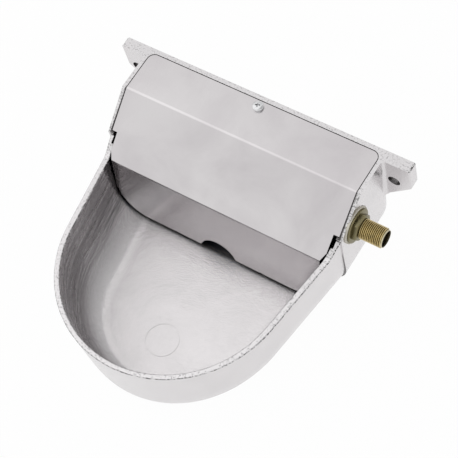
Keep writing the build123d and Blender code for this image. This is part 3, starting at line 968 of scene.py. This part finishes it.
@dataclass
class SubAssembly:
    """A group of the bowl's pieces that are made and dressed together."""

    frame: dict
    finishes: Finishes

    def body_of(self, node: str) -> str:
        """Name of the moving body that a node belongs to."""
        return self.frame["nodes"][node]["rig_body"]

    def coat(self, piece: bpy.types.Object, finish: Finish) -> None:
        """Give a piece one finish all over.

        Args:
            piece: The piece.
            finish: Its finish.
        """
        piece.data.materials.clear()
        piece.data.materials.append(self.finishes.material(finish))

    def dress(self, node: str, finish: Finish) -> None:
        """Give a solid that keeps its shape a finish.

        Args:
            node: Name of the solid.
            finish: The finish for all of it.
        """
        self.coat(self.frame["nodes"][node], finish)
        LOG.info("dressed %s in %s", node, finish.name)

    def seat(self, piece: bpy.types.Object, node: str, finish: Finish) -> None:
        """Let a hand-made piece stand for a solid and move with its body.

        Args:
            piece: The new piece, with its place in its mesh.
            node: Name of the solid that it replaces.
            finish: The finish for all of it.
        """
        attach(piece, self.body_of(node))
        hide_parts(node)
        self.coat(piece, finish)
        LOG.info("made %s in place of %s", piece.name, node)


@dataclass
class BowlCasting(SubAssembly):
    """The one-piece casting: basin, float chamber, back plate and two ears."""

    def build(self) -> None:
        """Dress the casting."""
        self.dress("bowl_casting", self.finishes.aluminium)


@dataclass
class Cover(SubAssembly):
    """The bent sheet cover and the screw that holds it down."""

    screw_x: float = 0.0
    screw_y: float = -13.0 * MM
    screw_seat: float = 30.0 * MM
    head_radius: float = 6.0 * MM
    head_height: float = 4.2 * MM
    head_side: float = 0.45
    crown_steps: int = 7
    crown_end: float = 0.6
    shank_length: float = 16.0 * MM
    crest_radius: float = 3.0 * MM
    core_radius: float = 2.45 * MM
    pitch: float = 1.0 * MM
    recess_width: float = 1.5 * MM
    recess_span: float = 6.2 * MM
    recess_depth: float = 2.6 * MM
    recess_turn: float = 20.0
    recess_taper: tuple[float, float, float] = (0.35, 0.6, 1.0)
    recess_clearance: float = 0.4 * MM
    plain_shank: float = 2.0 * MM
    lead_in: float = 0.8 * MM
    sides: int = 64

    def head(self) -> bpy.types.Object:
        """Crown a short cylinder into a pan head and sink a cross recess into it.

        Returns:
            The head and its plain core, round +Z with the seat at z = 0.
        """
        side = self.head_side * self.head_height
        crown = self.head_height - side
        piece = Bench.bar(self.head_radius, 0.0, side, self.sides)
        Bench.edit(piece)
        Bench.pick(piece, lambda centre, normal: normal.z > FACING)
        radius, level = self.head_radius, side
        for step in range(1, self.crown_steps + 1):
            angle = QUARTER_TURN * step / (self.crown_steps + self.crown_end)
            narrowed = self.head_radius * cos(angle)
            raised = side + crown * sin(angle)
            Bench.extrude(
                Vector((0.0, 0.0, raised - level)), narrowed / radius, Vector((0.0, 0.0, raised))
            )
            radius, level = narrowed, raised
        Bench.pick(piece, lambda centre, normal: normal.z < -FACING)
        bpy.ops.mesh.inset(thickness=self.head_radius - self.core_radius)
        Bench.extrude(Vector((0.0, 0.0, -self.shank_length)))
        Bench.done()
        for turn in (0.0, QUARTER_TURN):
            Bench.combine(piece, self.wing(turn), Combine.CUT_AWAY)
        return piece

    def wing(self, turn: float) -> bpy.types.Object:
        """Make one wing of the cross recess, narrower at its bottom.

        Args:
            turn: Direction of the wing about the screw's axis, in radians.

        Returns:
            The solid that cuts the wing.
        """
        top = self.head_height + self.recess_clearance
        bottom = self.head_height - self.recess_depth
        Bench.clear()
        bpy.ops.mesh.primitive_cube_add(size=1.0, location=(0.0, 0.0, (top + bottom) / 2))
        tool = bpy.context.object
        tool.scale = (self.recess_span, self.recess_width, top - bottom)
        Bench.settle(tool)
        Bench.edit(tool)
        Bench.pick(tool, lambda centre, normal: normal.z < -FACING)
        bpy.ops.transform.resize(value=self.recess_taper, center_override=(0.0, 0.0, bottom))
        Bench.done()
        Bench.lay(tool, Matrix.Rotation(turn + radians(self.recess_turn), 4, "Z"))
        return tool

    def build(self) -> None:
        """Dress the sheet and make the screw."""
        self.dress("cover", self.finishes.stainless)
        head = self.head()
        place = Matrix.Translation((self.screw_x, self.screw_y, self.screw_seat))
        Bench.lay(head, place)
        thread = ScrewThread(
            self.crest_radius, self.core_radius, self.pitch,
            self.shank_length - self.plain_shank, self.lead_in,
        )
        start = Matrix.Translation((0.0, 0.0, -self.plain_shank))
        down = place @ start @ Matrix.Rotation(pi, 4, "X")
        screw = Bench.join([head, thread.make(down)], "pan_head_screw")
        Bench.finish(screw)
        self.seat(screw, "cover_screw", self.finishes.screw)


@dataclass
class Inlet(SubAssembly):
    """The brass nipple through the side wall, with its washers."""

    axis_y: float = -67.5 * MM
    axis_z: float = -6.0 * MM
    flange_start: float = 138.8 * MM
    flange_end: float = 141.0 * MM
    hexagon_end: float = 146.0 * MM
    tip: float = 171.0 * MM
    shank_end: float = 115.0 * MM
    flange_radius: float = 18.2 * MM
    hexagon_flats: float = 26.0 * MM
    crest_radius: float = 10.47 * MM
    core_radius: float = 9.25 * MM
    shank_radius: float = 10.3 * MM
    bore_radius: float = 8.0 * MM
    mouth: float = 0.8 * MM
    pitch: float = 1.814 * MM
    lead_in: float = 1.2 * MM
    edge_rounding: float = 0.35 * MM
    tip_rounding: tuple[float, float] = (0.2 * MM, 0.45 * MM)
    corner_cut: float = 0.3 * MM
    hexagon_rounding: float = 0.25 * MM
    thread_gap: float = 0.7 * MM
    bore_beyond_shank: float = 2.0 * MM
    sides: int = 96
    thread_steps: int = 48
    rounded_angle: float = 28.0
    sharp_angle: float = 32.0

    def at(self, x: float) -> Vector:
        """Point on the inlet's axis at a distance from the bowl's middle."""
        return Vector((x, self.axis_y, self.axis_z))

    def turned_body(self) -> bpy.types.Object:
        """Turn the flange, core, bored tip and shank from one bar.

        Returns:
            The nipple without its hexagon and thread.
        """
        Bench.clear()
        bpy.ops.mesh.primitive_cylinder_add(
            vertices=self.sides, radius=self.flange_radius,
            depth=self.flange_end - self.flange_start,
            location=self.at((self.flange_start + self.flange_end) / 2),
            rotation=(0.0, QUARTER_TURN, 0.0),
        )
        piece = bpy.context.object
        Bench.settle(piece)
        Bench.edit(piece)
        Bench.pick(piece, lambda centre, normal: abs(normal.x) > FACING)
        bpy.ops.mesh.bevel(offset=self.edge_rounding, segments=2, affect="EDGES")
        face_radius = self.flange_radius - self.edge_rounding
        outer_end = self.flange_end - TOUCHING
        Bench.pick(piece, lambda centre, normal: normal.x > FACING and centre.x > outer_end)
        bpy.ops.mesh.inset(thickness=face_radius - self.core_radius)
        narrowing, nose = self.tip_rounding
        tip_radius = self.core_radius - narrowing
        mouth_radius = self.bore_radius + self.mouth / 2
        Bench.extrude(Vector((self.tip - nose - self.flange_end, 0.0, 0.0)))
        Bench.extrude(
            Vector((nose, 0.0, 0.0)), tip_radius / self.core_radius, self.at(self.tip)
        )
        bpy.ops.mesh.inset(thickness=tip_radius - mouth_radius)
        Bench.extrude(
            Vector((-self.mouth, 0.0, 0.0)), self.bore_radius / mouth_radius,
            self.at(self.tip - self.mouth),
        )
        bore_end = self.shank_end + self.bore_beyond_shank
        Bench.extrude(Vector((bore_end + self.mouth - self.tip, 0.0, 0.0)))
        inner_end = self.flange_start + TOUCHING
        Bench.pick(piece, lambda centre, normal: normal.x < -FACING and centre.x < inner_end)
        bpy.ops.mesh.inset(thickness=face_radius - self.shank_radius)
        Bench.extrude(Vector((self.shank_end - self.flange_start, 0.0, 0.0)))
        Bench.done()
        return piece

    def hexagon(self) -> bpy.types.Object:
        """Turn the corners off a hexagonal bar at 30 degrees.

        Returns:
            The chamfered hexagon.
        """
        depth = self.hexagon_end - self.flange_end
        middle = (self.hexagon_end + self.flange_end) / 2
        Bench.clear()
        bpy.ops.mesh.primitive_cylinder_add(
            vertices=6, radius=self.hexagon_flats / sqrt(3), depth=depth,
            location=self.at(middle), rotation=(0.0, QUARTER_TURN, 0.0),
        )
        piece = bpy.context.object
        Bench.settle(piece)
        small = self.hexagon_flats / 2 - self.corner_cut
        Bench.clear()
        bpy.ops.mesh.primitive_cone_add(
            vertices=self.sides, radius1=small + depth * sqrt(3), radius2=small, depth=depth,
            location=self.at(middle), rotation=(0.0, QUARTER_TURN, 0.0),
        )
        cone = bpy.context.object
        Bench.settle(cone)
        Bench.combine(piece, cone, Combine.KEEP_INSIDE)
        Bench.apply(
            piece, "BEVEL", width=self.hexagon_rounding, segments=2, limit_method="ANGLE",
            angle_limit=radians(self.rounded_angle),
        )
        return piece

    def build(self) -> None:
        """Make the nipple and dress its washers."""
        thread = ScrewThread(
            self.crest_radius, self.core_radius, self.pitch,
            self.tip - self.hexagon_end - self.thread_gap, self.lead_in, self.thread_steps,
        )
        turn = Matrix.Rotation(QUARTER_TURN, 4, "Y")
        place = Matrix.Translation(self.at(self.hexagon_end)) @ turn
        nipple = Bench.join([self.turned_body(), self.hexagon(), thread.make(place)], "pipe_nipple")
        Bench.finish(nipple, self.sharp_angle)
        self.seat(nipple, "inlet_nipple", self.finishes.inlet)
        self.dress("outer_washer", self.finishes.fibre)
        self.dress("inner_gasket", self.finishes.rubber)


@dataclass
class FloatValve(SubAssembly):
    """The valve inside the float chamber: body, nozzle, piston and pins."""

    def build(self) -> None:
        """Dress each piece of the valve."""
        for node, finish in (
            ("valve_body", self.finishes.brass),
            ("nozzle", self.finishes.acetal),
            ("nozzle_ring", self.finishes.rubber),
            ("valve_piston", self.finishes.brass),
            ("piston_seal", self.finishes.rubber),
            ("pivot_pin", self.finishes.plated),
            ("split_pin", self.finishes.plated),
        ):
            self.dress(node, finish)


@dataclass
class FloatArm(SubAssembly):
    """The lever, threaded rod and hollow float that shut the valve."""

    rod_start: Vector = field(default_factory=lambda: Vector((93.69, -67.5, -33.556)) * MM)
    rod_swing: float = 14.0038
    rod_length: float = 87.0 * MM
    crest_radius: float = 2.98 * MM
    core_radius: float = 2.45 * MM
    pitch: float = 1.0 * MM
    threaded_length: float = 22.0 * MM
    end_rounding: float = 0.4 * MM
    step_rounding: float = 0.35 * MM
    thread_depth_left: float = 0.12 * MM
    thread_gap: float = 0.5 * MM
    lead_in: float = 0.7 * MM
    sides: int = 48
    thread_steps: int = 28

    def rod(self) -> bpy.types.Object:
        """Turn the rod and thread both its ends.

        Returns:
            The rod at its place.
        """
        core = Bench.bar(self.core_radius, 0.0, self.rod_length, self.sides, self.end_rounding)
        far_start = self.rod_length - self.threaded_length
        middle = Bench.bar(
            self.crest_radius - self.thread_depth_left, self.threaded_length, far_start,
            self.sides, self.step_rounding,
        )
        thread = ScrewThread(
            self.crest_radius, self.core_radius, self.pitch, self.threaded_length,
            self.lead_in, self.thread_steps,
        )
        far = Matrix.Translation((0.0, 0.0, far_start - self.thread_gap))
        near = Matrix.Translation(
            (0.0, 0.0, self.threaded_length + self.thread_gap)
        ) @ Matrix.Rotation(pi, 4, "X")
        ends = [thread.make(far), thread.make(near)]
        rod = Bench.join([core, middle, *ends], "float_arm_rod")
        turn = Matrix.Rotation(-QUARTER_TURN - radians(self.rod_swing), 4, "Y")
        Bench.lay(rod, Matrix.Translation(self.rod_start) @ turn)
        Bench.finish(rod)
        return rod

    def build(self) -> None:
        """Make the rod and dress the lever, nuts and float."""
        self.seat(self.rod(), "float_rod", self.finishes.brass)
        for node in ("float_lever", "rod_lock_nut", "float_lock_nut", "float_insert"):
            self.dress(node, self.finishes.brass)
        self.dress("float_washer", self.finishes.plated)
        for node in ("float_shell", "float_lid"):
            self.dress(node, self.finishes.float_plastic)


@dataclass
class Studio:
    """Pale floor, white surround, soft lamp, pale grey card and the camera."""

    floor_level: float = -0.1002
    floor_size: float = 14.0
    floor_colour: str = "#f8f8f8"
    lens: float = 113.97
    sensor: float = 36.0
    shift_x: float = 0.0219
    shift_y: float = -0.0566
    eye: tuple[float, float, float] = (0.56429, -0.56895, 1.21284)
    right: tuple[float, float, float] = (0.82864, 0.53060, -0.17838)
    up: tuple[float, float, float] = (-0.39820, 0.78269, 0.47837)
    back: tuple[float, float, float] = (0.39344, -0.32536, 0.85985)
    lamp_place: tuple[float, float, float] = (-1.25, -0.35, 1.9)
    lamp_size: tuple[float, float] = (2.2, 3.6)
    lamp_power: float = 7.0
    flag_place: tuple[float, float, float] = (1.65, 0.80, 1.55)
    flag_size: tuple[float, float] = (2.4, 2.3)
    flag_colour: str = "#e6e6e6"
    flag_roughness: float = 0.9
    sight: tuple[float, float] = (0.05, 60.0)
    floor_glow: float = 0.97
    ambient: float = 0.75

    def rays(self, tree: bpy.types.NodeTree) -> Socket:
        """Tell the rays that see the studio from those that light it softly.

        Args:
            tree: Node tree of a material or of the world.

        Returns:
            One for a camera, glossy or transmission ray, and zero for soft light.
        """
        path = add_node(tree, "ShaderNodeLightPath", {}).outputs
        seen = path["Is Camera Ray"]
        for other in ("Is Glossy Ray", "Is Transmission Ray"):
            seen = add_node(
                tree, "ShaderNodeMath", {0: seen, 1: path[other]}, operation="MAXIMUM"
            ).outputs[0]
        return seen

    def floor(self) -> None:
        """Lay a white floor that keeps the bowl's soft shadow."""
        Bench.clear()
        bpy.ops.mesh.primitive_plane_add(
            size=self.floor_size, location=(0.0, 0.0, self.floor_level)
        )
        floor = bpy.context.object
        floor.name = "floor"
        Bench.settle(floor)
        material = bpy.data.materials.new("white_floor")
        material.use_nodes = True
        tree = material.node_tree
        tree.nodes.clear()
        matt = add_node(
            tree, "ShaderNodeBsdfDiffuse", {"Color": linear(self.floor_colour)}
        ).outputs[0]
        glow = add_node(tree, "ShaderNodeEmission", {"Strength": 1.0}).outputs[0]
        share = add_node(
            tree, "ShaderNodeMath", {0: self.rays(tree), 1: self.floor_glow}, operation="MULTIPLY"
        ).outputs[0]
        mixed = add_node(tree, "ShaderNodeMixShader", {0: share, 1: matt, 2: glow}).outputs[0]
        add_node(tree, "ShaderNodeOutputMaterial", {"Surface": mixed})
        floor.data.materials.append(material)

    def surround(self) -> None:
        """Surround the bowl with white that lights matt things more softly than it is seen."""
        world = bpy.data.worlds.new("studio")
        world.use_nodes = True
        tree = world.node_tree
        tree.nodes.clear()
        level = add_node(
            tree, "ShaderNodeMapRange",
            {"Value": self.rays(tree), "To Min": self.ambient, "To Max": 1.0},
        ).outputs["Result"]
        white = add_node(
            tree, "ShaderNodeBackground", {"Color": linear("#ffffff"), "Strength": level}
        ).outputs[0]
        add_node(tree, "ShaderNodeOutputWorld", {"Surface": white})
        bpy.context.scene.world = world

    def lamp(self) -> None:
        """Hang the large soft lamp over the bowl's left side, facing it."""
        data = bpy.data.lights.new("soft_lamp", "AREA")
        data.shape = "RECTANGLE"
        data.size, data.size_y = self.lamp_size
        data.energy = self.lamp_power
        lamp = bpy.data.objects.new("soft_lamp", data)
        lamp.location = self.lamp_place
        lamp.rotation_mode = "QUATERNION"
        lamp.rotation_quaternion = (-Vector(self.lamp_place)).to_track_quat("-Z", "Y")
        bpy.context.scene.collection.objects.link(lamp)

    def flag(self) -> None:
        """Hang a pale grey card on the right, for bare metal to mirror."""
        Bench.clear()
        bpy.ops.mesh.primitive_plane_add(size=1.0, location=self.flag_place)
        card = bpy.context.object
        card.name = "grey_card"
        card.scale = (*self.flag_size, 1.0)
        Bench.settle(card)
        material = bpy.data.materials.new("grey_card")
        material.use_nodes = True
        shader = material.node_tree.nodes["Principled BSDF"]
        shader.inputs["Base Color"].default_value = linear(self.flag_colour)
        shader.inputs["Roughness"].default_value = self.flag_roughness
        card.data.materials.append(material)
        card.visible_camera = False
        card.visible_shadow = False

    def camera(self) -> None:
        """Stand the camera above the bowl's right front corner."""
        data = bpy.data.cameras.new("camera")
        data.sensor_width = self.sensor
        data.lens = self.lens
        data.shift_x = self.shift_x
        data.shift_y = self.shift_y
        data.clip_start, data.clip_end = self.sight
        camera = bpy.data.objects.new("camera", data)
        axes = Matrix((self.right, self.up, self.back)).transposed().to_4x4()
        camera.matrix_world = Matrix.Translation(self.eye) @ axes
        bpy.context.scene.collection.objects.link(camera)
        bpy.context.scene.camera = camera

    def build(self) -> None:
        """Set up the stage, the light and the camera."""
        scene = bpy.context.scene
        scene.view_settings.view_transform = "Standard"
        self.floor()
        self.surround()
        self.lamp()
        self.flag()
        self.camera()


def main() -> None:
    """Build the drinking bowl's pieces in order, then the studio."""
    logging.basicConfig(level=logging.INFO, format="%(message)s")
    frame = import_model()
    finishes = Finishes()
    for part in (BowlCasting, Cover, Inlet, FloatValve, FloatArm):
        part(frame, finishes).build()
    Studio().build()
    bpy.context.view_layer.update()


if __name__ == "__main__":
    main()
